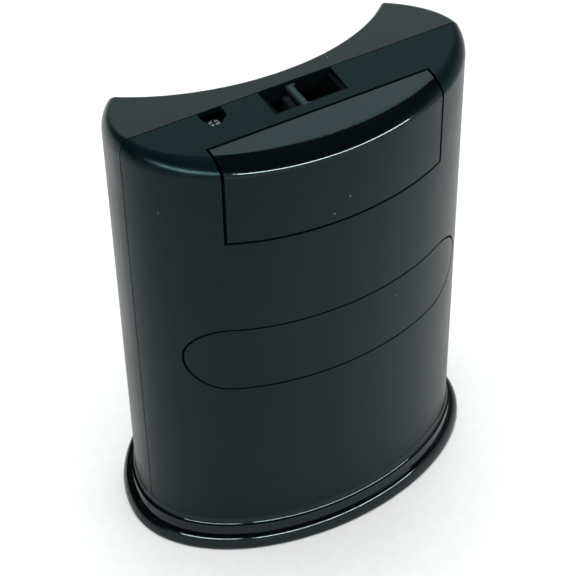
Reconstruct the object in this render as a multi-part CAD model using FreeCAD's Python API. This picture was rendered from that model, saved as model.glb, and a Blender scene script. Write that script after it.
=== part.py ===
"""An upright electric can opener with a concave front, a knife sharpener and a lift-out caddy.

Frame: millimetres, +Z up, the concave can bay faces -Y, and the origin is under the middle of the
base. The body is two half-ellipses seen from above, a deep one in front and a shallow one behind,
which meet on the line y = WIDE_Y. The casing is split on the plane y = SEAM_Y.
"""
import FreeCAD, Part
import math
import os

V = FreeCAD.Vector
X_AXIS = V(1, 0, 0)
Y_AXIS = V(0, 1, 0)
Z_AXIS = V(0, 0, 1)

# ---------------------------------------------------------------- driving dimensions
# base ring: half-width, depth behind and depth in front of the widest line, at the floor
BASE_HALF_WIDTH = 86.0
BASE_REAR = 53.8
BASE_FRONT = 67.5
BASE_TOP_Z = 15.3
SKIRT_FLOOR_Z = 0.8
WIDE_Y = (BASE_FRONT - BASE_REAR) / 2
SEAM_Y = WIDE_Y + 5.3

# wall of the body at the top of the base ring, and how much of it is left at the rim
WALL_HALF_WIDTH = 79.4
WALL_REAR = 48.2
WALL_FRONT = 62.5
RIM_SCALE = 0.993
RIM_Z = 220.5
WALL = 2.6
SEAM_GROOVE_WIDTH = 0.45
SEAM_GROOVE_DEPTH = 0.6
RING_GAP = 0.35
RING_WALL = 2.8
RIB_REACH = 13.0

# roof: a shallow ridge along the seam, falling away to the rear and more to the front
RIDGE_Z = 228.1
REAR_SLOPE = 0.08
FRONT_SLOPE = 0.25
FRONT_RIM_SLOPE = 0.20
REAR_ROLL = 9.5
SIDE_ROLL = 4.2
ROLL_STEPS = 5

# concave can bay in the front
BAY_RADIUS = 87.0
BAY_CENTRE_Y = WIDE_Y - 92.5
HORN_ROUND = 2.2

# caddy: the lift-out piece in the top of the rear wall
CADDY_HALF_WIDTH = 49.4
CADDY_FLOOR_Z = 187.2
CADDY_CHORD_Y = WIDE_Y + 25.6
CADDY_GAP = 1.2
CADDY_WALL = 2.0
CADDY_TRAY_DEPTH = 9.0

# curved inlay let into the rear wall
INLAY_CENTRE_Z = 120.2
INLAY_HALF_HEIGHT = 17.6
INLAY_STRAIGHT = 50.0
INLAY_END = 17.0
INLAY_THICKNESS = 1.4
INLAY_GROOVE = 0.9
GLUE_GAP = 0.15

# sharpener well and screw pocket in the roof, both against the seam
WELL_X = (-15.8, 17.6)
WELL_DEPTH_Y = 14.6
WELL_FLOOR_Z = 216.6
DIVIDER_X = 3.2
LINING = 1.6
POCKET_X = (34.0, 44.6)
POCKET_DEPTH_Y = 9.0
POCKET_FLOOR_Z = 222.4
POCKET_SCREW_Y = SEAM_Y + 4.6

# drive: motor and worm on one shaft along X, then two gear pairs on shafts along Y
GEAR_MODULE = 1.0
WORM_PITCH_R = 4.0
WORM_X = 24.0
WORM_LENGTH = 15.7
REDUCTION_TEETH = 28
PINION_TEETH = 10
FINAL_TEETH = 72
DRIVE_Y = WIDE_Y + 9.5
DRIVE_Z = 211.0
SHAFT_R = 1.6
MOTOR_R = 12.0
MOTOR_FLAT = 9.6
MOTOR_X = (-63.0, -31.0)
STONE_R = 11.5
STONE_X = (-1.0, 7.0)
RUNNING = 0.05

# gear chassis: two plates across Y
PLATE = 2.0
FRONT_PLATE_Y = WIDE_Y
REAR_PLATE_Y = WIDE_Y + 19.0
CHASSIS_MOTOR_X = (-29.0, -27.0)
CHASSIS_END_X = 33.0
AXLE_R = 2.0

# can drive and lever
FEED_R = 10.0
FEED_SHAFT_R = 4.0
FEED_FRONT_Y = WIDE_Y - 11.4
CUTTER_R = 9.5
CUTTER_OVERLAP = 3.0
CUTTER_REAR_Y = WIDE_Y - 12.0
PIVOT_X = 26.0
PIVOT_R = 3.0
WEAR_SEAT_Y = WIDE_Y - 6.3
WEAR_FACE_Y = WEAR_SEAT_Y - 1.0
WEAR_CORNER = 4.0
BUSH_R = 6.5
LEVER_PLATE_Y = (WIDE_Y - 15.6, WIDE_Y - 14.1)
HANDLE_R = (69.0, 79.0)
SWITCH_X = -22.0
PLUNGER_R = 2.2

# base plate, the screws and feet in it, and the cord's way in
BASE_PLATE_Z = (1.6, 3.6)
GLAND_Y = WIDE_Y - 14.0
GLAND_Z = 7.5
GLAND_R = 3.6
GLAND_LIP_R = 4.8
GLAND_X = (-82.2, -80.2, -75.0)
CORD_HOLE_R = 2.6

# circuit board behind the bay wall
BOARD_HALF_WIDTH = 19.0
BOARD_Y = WIDE_Y + 3.0
BOARD_Z = (62.0, 92.0)

# worked out from the gears
REDUCTION_R = GEAR_MODULE * REDUCTION_TEETH / 2
PINION_R = GEAR_MODULE * PINION_TEETH / 2
FINAL_R = GEAR_MODULE * FINAL_TEETH / 2
REDUCTION_Z = DRIVE_Z - WORM_PITCH_R - REDUCTION_R
FEED_Z = REDUCTION_Z - math.sqrt((PINION_R + FINAL_R) ** 2 - WORM_X ** 2)
CUTTER_Z = FEED_Z + FEED_R + CUTTER_R - CUTTER_OVERLAP
PIVOT_Z = CUTTER_Z + 10.0
WORM_LEAD = math.pi * GEAR_MODULE
LEAD_ANGLE = math.atan(WORM_LEAD / (2 * math.pi * WORM_PITCH_R))

MESH_ANGLE = math.atan2(FEED_Z - REDUCTION_Z, -WORM_X)
PINION_TURN = MESH_ANGLE
FINAL_TURN = MESH_ANGLE + math.pi + math.pi / FINAL_TEETH
REDUCTION_TURN = math.pi / 2 + math.pi / REDUCTION_TEETH
MAGNET_PIVOT = (0.0, WIDE_Y - 27.0, PIVOT_Z - 4.0)
MAGNET_Y = WIDE_Y - 38.5
MAGNET_Z = FEED_Z + FEED_R + 1.0

# where the plates are tied together and screwed to the bay wall
POST_PLACES = [(-37.0, FEED_Z + 27.0), (-37.0, FEED_Z - 27.0), (37.0, FEED_Z - 27.0), (45.0, FEED_Z + 19.0)]
POST_SCREW_R = 1.3
CASE_SCREW_R = 1.45
CASE_SCREW_PLACES = [(-58.0, 38.0), (58.0, 38.0), (-58.0, 108.0), (58.0, 108.0)]
FOOT_PLACES = [(-58.0, 20.0), (58.0, 20.0), (-46.0, -36.0), (46.0, -36.0)]
BASE_SCREW_PLACES = [(-40.0, 36.0), (40.0, 36.0), (-66.0, -14.0), (66.0, -14.0)]
BOARD_SCREW_PLACES = [(-15.0, 66.0), (15.0, 66.0)]


# ---------------------------------------------------------------- small makers
def box(x0, x1, y0, y1, z0, z1):
    return Part.makeBox(x1 - x0, y1 - y0, z1 - z0, V(x0, y0, z0))


def rod(radius, start, end):
    """A cylinder between two points."""
    a = V(*start)
    run = V(*end) - a
    return Part.makeCylinder(radius, run.Length, a, run)


def tube(outer, inner, start, end):
    return rod(outer, start, end).cut(rod(inner, start, end))


def y_rod(radius, x, z, y0, y1):
    return rod(radius, (x, y0, z), (x, y1, z))


def x_rod(radius, x0, x1):
    """A cylinder on the motor shaft's axis."""
    return rod(radius, (x0, DRIVE_Y, DRIVE_Z), (x1, DRIVE_Y, DRIVE_Z))


def union(shapes):
    whole = shapes[0]
    for shape in shapes[1:]:
        whole = whole.fuse(shape)
    return whole.removeSplitter()


def prism(points, direction):
    """A polygon given as points, pushed along a direction."""
    corners = [V(*p) for p in points]
    return Part.Face(Part.makePolygon(corners + corners[:1])).extrude(V(*direction))


def rounded_plate(points, radius, y0, y1):
    """A plate across Y whose outline, given as (x, z) corners, has round corners."""
    plate = prism([(x, y0, z) for x, z in points], (0, y1 - y0, 0))
    uprights = [e for e in plate.Edges if abs(e.tangentAt(e.FirstParameter).y) > 0.99]
    return plate.makeFillet(radius, uprights)


def export(name, shape):
    """Write one sub-part. A group of like solids stays one node."""
    if not shape.isValid() or not shape.Solids:
        raise ValueError("bad solid in " + name)
    solids = shape.Solids
    kept = solids[0] if len(solids) == 1 else Part.makeCompound(solids)
    kept.exportStep("parts/" + name + ".step")


# ---------------------------------------------------------------- body outline
def ellipse_arc(a, b, u0, u1, z):
    return Part.ArcOfEllipse(Part.Ellipse(V(0, WIDE_Y, z), a, b), u0, u1).toShape()


def rear_section(a, b, z):
    """The outline behind the seam at one height: an arc and the seam line."""
    u = math.asin((SEAM_Y - WIDE_Y) / b)
    arc = ellipse_arc(a, b, u, math.pi - u, z)
    ends = [arc.valueAt(arc.LastParameter), arc.valueAt(arc.FirstParameter)]
    return Part.Wire([arc, Part.makeLine(*ends)])


def front_section(a, rear, front, z):
    """The outline in front of the seam, before the can bay is taken out."""
    u = math.asin((SEAM_Y - WIDE_Y) / rear)
    left = ellipse_arc(a, rear, math.pi - u, math.pi, z)
    bow = ellipse_arc(a, front, math.pi, 2 * math.pi, z)
    right = ellipse_arc(a, rear, 0, u, z)
    ends = [right.valueAt(right.LastParameter), left.valueAt(left.FirstParameter)]
    return Part.Wire([left, bow, right, Part.makeLine(*ends)])


def body_section(side, a, rear, front, z):
    if side == "rear":
        return rear_section(a, rear, z)
    return front_section(a, rear, front, z)


def tilted(wire, fall):
    """Tip a level outline about the seam line, so that it drops by fall for each step along Y."""
    matrix = FreeCAD.Matrix()
    matrix.A32 = -fall
    tipped = wire.transformGeometry(matrix)
    tipped.translate(V(0, 0, SEAM_Y * fall))
    return tipped


def rim_sections(side, rim_fall, roof_fall, inset, steps):
    """Outlines of the rolled rim, from the wall's top edge to the roof plane."""
    sections = []
    for step in range(steps + 1):
        turn = math.pi / 2 * step / steps
        roll = 1 - math.cos(turn)
        rise = math.sin(turn)
        a = WALL_HALF_WIDTH * RIM_SCALE - inset - SIDE_ROLL * roll
        rear = WALL_REAR * RIM_SCALE - inset - REAR_ROLL * roll
        front = WALL_FRONT * RIM_SCALE - inset - SIDE_ROLL * roll
        z = RIM_Z + (RIDGE_Z - inset - RIM_Z) * rise
        outline = body_section(side, a, rear, front, z)
        sections.append(tilted(outline, rim_fall + (roof_fall - rim_fall) * rise))
    return sections


def half_body(side, inset, z_foot):
    """Solid half of the body up to the roof, shrunk by inset, before the can bay is taken out."""
    falls = (0.0, REAR_SLOPE) if side == "rear" else (-FRONT_RIM_SLOPE, -FRONT_SLOPE)
    foot = body_section(side, WALL_HALF_WIDTH - inset, WALL_REAR - inset, WALL_FRONT - inset, z_foot)
    rim = rim_sections(side, falls[0], falls[1], inset, ROLL_STEPS)
    wall = Part.makeLoft([foot, rim[0]], True, True)
    roll = Part.makeLoft(rim, True, False)
    return wall.fuse(roll).removeSplitter()


def bay_cutter(radius, z0, z1):
    """The round space that makes the front concave, or a cylinder of another radius about its axis."""
    return Part.makeCylinder(radius, z1 - z0, V(0, BAY_CENTRE_Y, z0), Z_AXIS)


def bay_y(x, radius=BAY_RADIUS):
    return BAY_CENTRE_Y + math.sqrt(radius ** 2 - x ** 2)


# ---------------------------------------------------------------- casing
def front_housing():
    """Front half: the concave bay wall, the two horns and the roof in front of the seam."""
    outer = half_body("front", 0, BASE_TOP_Z)
    outer = outer.cut(bay_cutter(BAY_RADIUS, 0, 260))
    horns = [e for e in outer.Edges if abs(e.tangentAt(e.FirstParameter).z) > 0.9
             and e.Length > 150 and e.CenterOfMass.y < WIDE_Y - 20]
    outer = outer.makeFillet(HORN_ROUND, horns)
    inner = half_body("front", WALL, BASE_TOP_Z - 1)
    inner = inner.cut(bay_cutter(BAY_RADIUS + WALL, 0, 260))
    shell = outer.cut(inner)
    shell = shell.cut(rounded_plate(wear_outline(0.3), WEAR_CORNER, WIDE_Y - 20, WEAR_SEAT_Y))
    added = [y_rod(11.5, 0, FEED_Z, WEAR_SEAT_Y, WIDE_Y - 0.2)]
    added.append(rounded_plate(wear_outline(0.3), WEAR_CORNER, WEAR_SEAT_Y, WIDE_Y - 4.5))
    added.append(y_rod(6.0, PIVOT_X, PIVOT_Z, WIDE_Y - 13.6, WIDE_Y - 4.0))
    added.append(y_rod(4.5, SWITCH_X, PIVOT_Z, bay_y(SWITCH_X) - 0.5, WIDE_Y - 2.0))
    for x, z in POST_PLACES:
        added.append(y_rod(4.0, x, z, bay_y(abs(x) - 3) + 1.0, FRONT_PLATE_Y))
    for x, z in CASE_SCREW_PLACES:
        added.append(y_rod(5.6, x, z, bay_y(abs(x) - 5) + 1.0, SEAM_Y))
    for x, z in BOARD_SCREW_PLACES:
        added.append(y_rod(3.0, x, z, bay_y(x) + 1.0, BOARD_Y))
    shell = union([shell] + added)
    cuts = [y_rod(BUSH_R, 0, FEED_Z, WIDE_Y - 12, WIDE_Y + 1)]
    for x, z in BOARD_SCREW_PLACES:
        cuts.append(y_rod(1.0, x, z, BOARD_Y - 4.5, BOARD_Y + 1))
    cuts.append(y_rod(PIVOT_R, PIVOT_X, PIVOT_Z, WIDE_Y - 14, WIDE_Y - 3))
    cuts.append(y_rod(PLUNGER_R + 0.1, SWITCH_X, PIVOT_Z, WIDE_Y - 20, WIDE_Y))
    for x, z in POST_PLACES:
        cuts.append(y_rod(POST_SCREW_R, x, z, FRONT_PLATE_Y - 7, FRONT_PLATE_Y + 1))
    for x, z in CASE_SCREW_PLACES:
        cuts.append(y_rod(1.8, x, z, WIDE_Y - 40, SEAM_Y + 1))
        cuts.append(y_rod(3.6, x, z, WIDE_Y - 40, SEAM_Y - 9))
    for cut in cuts:
        shell = shell.cut(cut)
    return shell


def well_box():
    x0, x1 = WELL_X
    return box(x0, x1, SEAM_Y - 1, SEAM_Y + WELL_DEPTH_Y, WELL_FLOOR_Z - 3, 240)


def pocket_prism(wall, z0, z1):
    """The small six-sided screw pocket against the seam, or the wall of that thickness round it."""
    x0, x1 = POCKET_X
    mid = (x0 + x1) / 2
    deep = SEAM_Y + POCKET_DEPTH_Y + wall
    outline = [(x0 - wall, SEAM_Y - 1), (x1 + wall, SEAM_Y - 1), (x1 + wall, SEAM_Y + 4),
               (mid + 2.6, deep), (mid - 1.4, deep), (x0 - wall, SEAM_Y + 5.6)]
    return prism([(x, y, z0) for x, y in outline], (0, 0, z1 - z0))


def inlay_outline(shrink):
    """The inlay's outline pushed through the rear wall: a straight band with half-elliptic ends."""
    half = INLAY_HALF_HEIGHT - shrink
    end = INLAY_END - shrink
    low = INLAY_CENTRE_Z - half
    band = box(-INLAY_STRAIGHT, INLAY_STRAIGHT, SEAM_Y, 100, low, low + 2 * half)
    caps = []
    for x in (-INLAY_STRAIGHT, INLAY_STRAIGHT):
        cap = Part.makeCylinder(half, 100 - SEAM_Y, V(0, SEAM_Y, 0), Y_AXIS)
        stretch = FreeCAD.Matrix()
        stretch.A11 = end / half
        cap = cap.transformGeometry(stretch)
        cap.translate(V(x, 0, INLAY_CENTRE_Z))
        caps.append(cap)
    return band.fuse(caps[0]).fuse(caps[1])


def caddy_block(gap):
    """The block of space behind the chord that the caddy takes out of the casing."""
    half = CADDY_HALF_WIDTH + gap
    return box(-half, half, CADDY_CHORD_Y - gap, 100, CADDY_FLOOR_Z - gap, 260)


def seam_rebate():
    """A shallow step round the rear half's edge, so that the closed seam shows as a fine groove."""
    slab = box(-100, 100, SEAM_Y - 1, SEAM_Y + SEAM_GROOVE_WIDTH, BASE_TOP_Z, 260)
    return slab.cut(half_body("rear", SEAM_GROOVE_DEPTH, BASE_TOP_Z - 1))


def rear_housing():
    """Rear half: the long curved wall with the roof behind the seam, the well and the screw pocket."""
    outer = half_body("rear", 0, BASE_TOP_Z)
    inner = half_body("rear", WALL, BASE_TOP_Z - 1)
    lining = caddy_block(CADDY_GAP + 1.5)
    core = half_body("rear", INLAY_THICKNESS + GLUE_GAP, BASE_TOP_Z)
    shell = outer.cut(inner.cut(lining)).cut(inlay_outline(-INLAY_GROOVE / 2).cut(core))
    added = []
    for x, z in CASE_SCREW_PLACES:
        deep = WIDE_Y + WALL_REAR * math.sqrt(1 - ((abs(x) + 4) / WALL_HALF_WIDTH) ** 2) - 3.4
        added.append(y_rod(4.6, x, z, SEAM_Y, deep))
    floor = box(WELL_X[0] - LINING, WELL_X[1] + LINING, SEAM_Y, SEAM_Y + WELL_DEPTH_Y + LINING,
                WELL_FLOOR_Z + 1, 226)
    skin = pocket_prism(LINING, POCKET_FLOOR_Z - LINING, 226).common(box(30, 50, SEAM_Y, 60, 200, 240))
    mid = (POCKET_X[0] + POCKET_X[1]) / 2
    added.append(rod(3.0, (mid, POCKET_SCREW_Y, POCKET_FLOOR_Z - 9), (mid, POCKET_SCREW_Y, POCKET_FLOOR_Z)))
    shell = union([shell, floor.common(outer), skin.common(outer)] + added)
    shell = shell.cut(caddy_block(CADDY_GAP))
    shell = shell.cut(well_box())
    shell = shell.cut(pocket_prism(0, POCKET_FLOOR_Z, 240))
    shell = shell.cut(x_rod(STONE_R + 0.6, STONE_X[0] - 0.8, STONE_X[1] + 0.8))
    for x, z in CASE_SCREW_PLACES:
        shell = shell.cut(y_rod(CASE_SCREW_R, x, z, SEAM_Y - 1, SEAM_Y + 9))
    shell = shell.cut(seam_rebate())
    return shell.cut(rod(CASE_SCREW_R, (mid, POCKET_SCREW_Y, 200), (mid, POCKET_SCREW_Y, 230)))


def rear_inlay():
    outer = half_body("rear", 0, BASE_TOP_Z)
    core = half_body("rear", INLAY_THICKNESS, BASE_TOP_Z - 1)
    return inlay_outline(INLAY_GROOVE / 2).common(outer.cut(core))


# ---------------------------------------------------------------- caddy
def caddy_tray():
    """Curved front plate with a shallow tray behind it, open towards the front of the opener."""
    outer = half_body("rear", 0, BASE_TOP_Z).common(caddy_block(0))
    body = outer.common(box(-60, 60, 0, 100, 0, RIM_Z - 0.05))
    half = CADDY_HALF_WIDTH - CADDY_WALL
    hollow = half_body("rear", CADDY_WALL + 0.4, BASE_TOP_Z)
    hollow = hollow.common(box(-half, half, CADDY_CHORD_Y - 5, 100, CADDY_FLOOR_Z + CADDY_WALL, 218.0))
    return body.cut(hollow)


def caddy_cap():
    outer = half_body("rear", 0, BASE_TOP_Z).common(caddy_block(0))
    return outer.common(box(-60, 60, 0, 100, RIM_Z + 0.05, 240))


# ---------------------------------------------------------------- base
def base_sections():
    """Heights and outward steps of the base ring: cove, upright band, then a full skirt."""
    cove = []
    for step in range(5):
        turn = math.pi / 2 * step / 4
        cove.append((BASE_TOP_Z - 3.0 * math.sin(turn), 0.30 * (1 - math.cos(turn))))
    band = [(12.3, 0.30), (6.9, 0.42)]
    skirt = []
    for step in range(6):
        turn = math.pi / 2 * step / 5
        skirt.append((6.9 - (6.9 - SKIRT_FLOOR_Z) * (1 - math.cos(turn)), 0.42 + 0.58 * math.sin(turn)))
    return [cove, band, skirt]


def base_outline(side, z, out, inset):
    a = WALL_HALF_WIDTH + (BASE_HALF_WIDTH - WALL_HALF_WIDTH) * out - inset
    rear = WALL_REAR + (BASE_REAR - WALL_REAR) * out - inset
    front = WALL_FRONT + (BASE_FRONT - WALL_FRONT) * out - inset
    if side == "rear":
        return rear_section(a, rear, z)
    return front_section(a, rear, front, z)


def base_solid(side):
    cove, band, skirt = base_sections()
    pieces = []
    for run, ruled in ((cove, False), (band, True), (skirt, False)):
        wires = [base_outline(side, z, out, 0) for z, out in run]
        pieces.append(Part.makeLoft(wires, True, ruled))
    return union(pieces)


def base_ring(side):
    """One half of the glossy ring: a skirt with a deck that the body stands on."""
    room = [base_outline(side, 0, 0.9, RING_WALL), base_outline(side, 10.0, 0.42, RING_WALL)]
    hollow = Part.makeLoft(room, True, True)
    ring = base_solid(side).cut(hollow)
    well = Part.makeLoft([base_outline(side, 9, 0, 7), base_outline(side, 16, 0, 7)], True, True)
    if side == "front":
        well = well.cut(bay_cutter(BAY_RADIUS + 7, 0, 30))
        ring = ring.cut(gland_rod(GLAND_R, -90, -60)).cut(gland_rod(GLAND_LIP_R + 0.2, -90, GLAND_X[1]))
    else:
        ring = ring.cut(box(-100, 100, SEAM_Y - 1, SEAM_Y + RING_GAP, 0, BASE_TOP_Z + 1))
    return ring.cut(well)


def base_plate():
    low, high = BASE_PLATE_Z
    halves = []
    for side in ("rear", "front"):
        halves.append(Part.makeLoft([base_outline(side, z, 0.9, 4.6) for z in (low, high)], True, True))
    plate = union(halves)
    for x, y in FOOT_PLACES:
        plate = plate.cut(rod(7.1, (x, y, low - 1), (x, y, low + 0.8)))
    for x, y in BASE_SCREW_PLACES:
        plate = plate.cut(rod(1.7, (x, y, 0), (x, y, 5)))
        plate = plate.cut(Part.makeCone(3.4, 1.7, 1.7, V(x, y, low), Z_AXIS))
    for index in range(-3, 4):
        plate = plate.cut(box(index * 7 - 1.2, index * 7 + 1.2, 4, 26, 0, 5))
    return plate


def base_bosses(side):
    """Pillars that the base plate is screwed to; a rib ties each rear one to the ring's wall."""
    pillars = []
    for x, y in BASE_SCREW_PLACES:
        if (y > SEAM_Y) == (side == "rear"):
            pillars.append(tube(3.6, 1.3, (x, y, BASE_PLATE_Z[1]), (x, y, 13.5)))
            if side == "rear":
                rib = box(x - 1.2, x + 1.2, y + 2.4, y + RIB_REACH, BASE_PLATE_Z[1], 10.5)
                pillars.append(rib)
    return pillars


def rubber_feet():
    feet = []
    for x, y in FOOT_PLACES:
        foot = Part.makeCone(6.0, 6.8, 2.4, V(x, y, 0), Z_AXIS)
        tread = [e for e in foot.Edges if e.CenterOfMass.z < 0.1 and e.Length > 30]
        feet.append(foot.makeFillet(0.5, tread))
    return Part.makeCompound(feet)


def base_screws():
    screws = []
    for x, y in BASE_SCREW_PLACES:
        low = BASE_PLATE_Z[0]
        head = Part.makeCone(3.2, 1.5, 1.6, V(x, y, low + 0.05), Z_AXIS)
        shank = rod(1.3, (x, y, low + 0.1), (x, y, 9.8))
        slot = box(x - 2.4, x + 2.4, y - 0.35, y + 0.35, 0, low + 0.7)
        slot = slot.fuse(box(x - 0.35, x + 0.35, y - 2.4, y + 2.4, 0, low + 0.7))
        screws.append(head.fuse(shank).removeSplitter().cut(slot))
    return Part.makeCompound(screws)


def gland_rod(radius, x0, x1):
    return rod(radius, (x0, GLAND_Y, GLAND_Z), (x1, GLAND_Y, GLAND_Z))


def cord_gland():
    """Bush that lines the cord's way in through the side of the base."""
    outside, face, inside = GLAND_X
    lip = gland_rod(GLAND_LIP_R, outside, face)
    mouth = [e for e in lip.Edges if abs(e.CenterOfMass.x - outside) < 0.01 and e.Length > 20]
    lip = lip.makeFillet(0.8, mouth)
    body = gland_rod(GLAND_R - 0.05, face, inside)
    return lip.fuse(body).removeSplitter().cut(gland_rod(CORD_HOLE_R, -90, -70))


# ---------------------------------------------------------------- screws
def cross_head(x, z, y_face, y_in, radius, depth):
    """A pan head seen from y_face, with a cross recess, on a shank that runs to y_in."""
    sign = 1 if y_in > y_face else -1
    head = y_rod(radius, x, z, y_face, y_face + sign * depth)
    rim = [e for e in head.Edges if abs(e.CenterOfMass.y - y_face) < 0.01 and e.Length > radius * 5]
    head = head.makeFillet(0.5, rim)
    bar = radius * 0.62
    y0, y1 = sorted((y_face - sign, y_face + sign * depth * 0.45))
    cross = box(x - bar, x + bar, y0, y1, z - 0.4, z + 0.4)
    cross = cross.fuse(box(x - 0.4, x + 0.4, y0, y1, z - bar, z + bar))
    return head.cut(cross)


def housing_screws():
    screws = []
    for x, z in CASE_SCREW_PLACES:
        head = cross_head(x, z, SEAM_Y - 11.2, SEAM_Y, 3.3, 2.2)
        shank = y_rod(CASE_SCREW_R, x, z, SEAM_Y - 9.5, SEAM_Y + 8)
        screws.append(head.fuse(shank).removeSplitter())
    return Part.makeCompound(screws)


def pocket_screw():
    """The bright screw at the bottom of the roof pocket."""
    x = (POCKET_X[0] + POCKET_X[1]) / 2
    y = POCKET_SCREW_Y
    top = POCKET_FLOOR_Z + 2.2
    head = rod(2.9, (x, y, POCKET_FLOOR_Z), (x, y, top))
    rim = [e for e in head.Edges if abs(e.CenterOfMass.z - top) < 0.01 and e.Length > 10]
    head = head.makeFillet(0.8, rim)
    cross = box(x - 1.8, x + 1.8, y - 0.4, y + 0.4, top - 1.1, top + 1)
    cross = cross.fuse(box(x - 0.4, x + 0.4, y - 1.8, y + 1.8, top - 1.1, top + 1))
    shank = rod(CASE_SCREW_R, (x, y, POCKET_FLOOR_Z - 8), (x, y, POCKET_FLOOR_Z + 0.5))
    return head.fuse(shank).removeSplitter().cut(cross)


# ---------------------------------------------------------------- sharpener
def sharpener_guide():
    """Insert in the roof well: sloping walls that steer a blade past each side of the stone."""
    x0, x1 = WELL_X[0] + 0.1, WELL_X[1] - 0.1
    y0, y1 = SEAM_Y + 0.15, SEAM_Y + WELL_DEPTH_Y - 0.1
    roof = RIDGE_Z - REAR_SLOPE * WELL_DEPTH_Y
    outer = box(x0, x1, y0, y1, WELL_FLOOR_Z, roof - 0.6)
    slots = []
    for wall_x, side_x, low_x, far_x in ((x0 + 1.0, DIVIDER_X - 1.6, STONE_X[0] - 0.8, STONE_X[0] - 4.0),
                                         (x1 - 1.0, DIVIDER_X + 1.6, STONE_X[1] + 0.8, STONE_X[1] + 4.0)):
        outline = [(wall_x, 230), (side_x, 230), (side_x, 221.5), (low_x, 205), (far_x, 205)]
        slots.append(prism([(x, y0 - 1, z) for x, z in outline], (0, WELL_DEPTH_Y, 0)))
    keep = box(x0, x1, y0 + 1.0, y1 - 1.0, 200, 240)
    guide = outer.cut(slots[0].common(keep)).cut(slots[1].common(keep))
    guide = guide.cut(x_rod(STONE_R + 0.6, STONE_X[0] - 0.8, STONE_X[1] + 0.8))
    ridge = [e for e in guide.Edges
             if abs(e.CenterOfMass.x - DIVIDER_X) < 2 and e.CenterOfMass.z > roof - 0.7
             and abs(e.tangentAt(e.FirstParameter).y) > 0.99]
    return guide.makeFillet(1.2, ridge) if ridge else guide


# ---------------------------------------------------------------- motor and its shaft
def motor_flats(half):
    """What is cut away on both sides to make the motor flat-sided."""
    front = box(-80, 0, DRIVE_Y - 20, DRIVE_Y - half, 180, 240)
    return front.fuse(box(-80, 0, DRIVE_Y + half, DRIVE_Y + 20, 180, 240))


def motor_can():
    can = x_rod(MOTOR_R, MOTOR_X[0] + 3, MOTOR_X[1])
    can = can.cut(motor_flats(MOTOR_FLAT))
    can = can.cut(x_rod(SHAFT_R + 3.0, MOTOR_X[0], MOTOR_X[1] - 1.2))
    boss = x_rod(4.0, MOTOR_X[1] - 0.5, MOTOR_X[1] + 1.8)
    return can.fuse(boss).removeSplitter().cut(x_rod(SHAFT_R + RUNNING, -90, 0))


def motor_end_cap():
    cap = x_rod(MOTOR_R - 0.4, MOTOR_X[0], MOTOR_X[0] + 3)
    boss = x_rod(4.2, MOTOR_X[0] - 2.0, MOTOR_X[0] + 0.5)
    cap = cap.fuse(boss).removeSplitter().cut(motor_flats(MOTOR_FLAT - 0.2))
    return cap.cut(x_rod(SHAFT_R + RUNNING, -90, 0))


def motor_terminals():
    tabs = []
    for side in (-1, 1):
        z = DRIVE_Z + side * 8.0
        tab = box(MOTOR_X[0] - 4.5, MOTOR_X[0], DRIVE_Y - 1.5, DRIVE_Y + 1.5, z - 0.3, z + 0.3)
        hole_x = MOTOR_X[0] - 3.0
        tabs.append(tab.cut(rod(0.6, (hole_x, DRIVE_Y, z - 2), (hole_x, DRIVE_Y, z + 2))))
    return Part.makeCompound(tabs)


def motor_shaft():
    return x_rod(SHAFT_R, MOTOR_X[0] - 1.4, CHASSIS_END_X + 2.6)


def worm():
    """Single-start worm: a core with one thread wound on it."""
    x0 = WORM_X - WORM_LENGTH / 2
    core_r = WORM_PITCH_R - 1.05
    start = WORM_X - 2 * WORM_LEAD
    helix = Part.makeHelix(WORM_LEAD, 4 * WORM_LEAD, core_r)
    base = 0.78
    tip = 0.34
    outer = WORM_PITCH_R + 0.75
    profile = [V(core_r - 0.3, 0, -base), V(outer, 0, -tip), V(outer, 0, tip), V(core_r - 0.3, 0, base)]
    wire = Part.makePolygon(profile + profile[:1])
    thread = Part.Wire(helix).makePipeShell([wire], True, True)
    turn = FreeCAD.Placement(V(start, DRIVE_Y, DRIVE_Z), FreeCAD.Rotation(Y_AXIS, 90))
    thread.Placement = turn
    core = x_rod(core_r, x0, x0 + WORM_LENGTH)
    return core.fuse(thread).removeSplitter().cut(x_rod(SHAFT_R, x0 - 1, x0 + WORM_LENGTH + 1))


def sharpening_stone():
    stone = x_rod(STONE_R, STONE_X[0], STONE_X[1])
    rims = [e for e in stone.Edges if e.Length > 60]
    stone = stone.makeChamfer(0.8, rims)
    return stone.cut(x_rod(SHAFT_R + 1.4, -10, 20))


def stone_collars():
    """Flanged hub halves that grip the stone and sit on the shaft."""
    left = x_rod(5.0, STONE_X[0] - 1.6, STONE_X[0]).fuse(x_rod(SHAFT_R + 1.4, STONE_X[0] - 0.5, 2.9))
    right = x_rod(5.0, STONE_X[1], STONE_X[1] + 1.6).fuse(x_rod(SHAFT_R + 1.4, 3.1, STONE_X[1] + 0.5))
    bore = x_rod(SHAFT_R, -10, 20)
    return Part.makeCompound([left.removeSplitter().cut(bore), right.removeSplitter().cut(bore)])


def shaft_bearing():
    sleeve = x_rod(4.0, CHASSIS_END_X, CHASSIS_END_X + 2.0)
    flange = x_rod(5.2, CHASSIS_END_X - 0.8, CHASSIS_END_X)
    return sleeve.fuse(flange).removeSplitter().cut(x_rod(SHAFT_R + RUNNING, 30, 45))


# ---------------------------------------------------------------- gears
def involute(angle):
    return math.tan(angle) - angle


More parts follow.
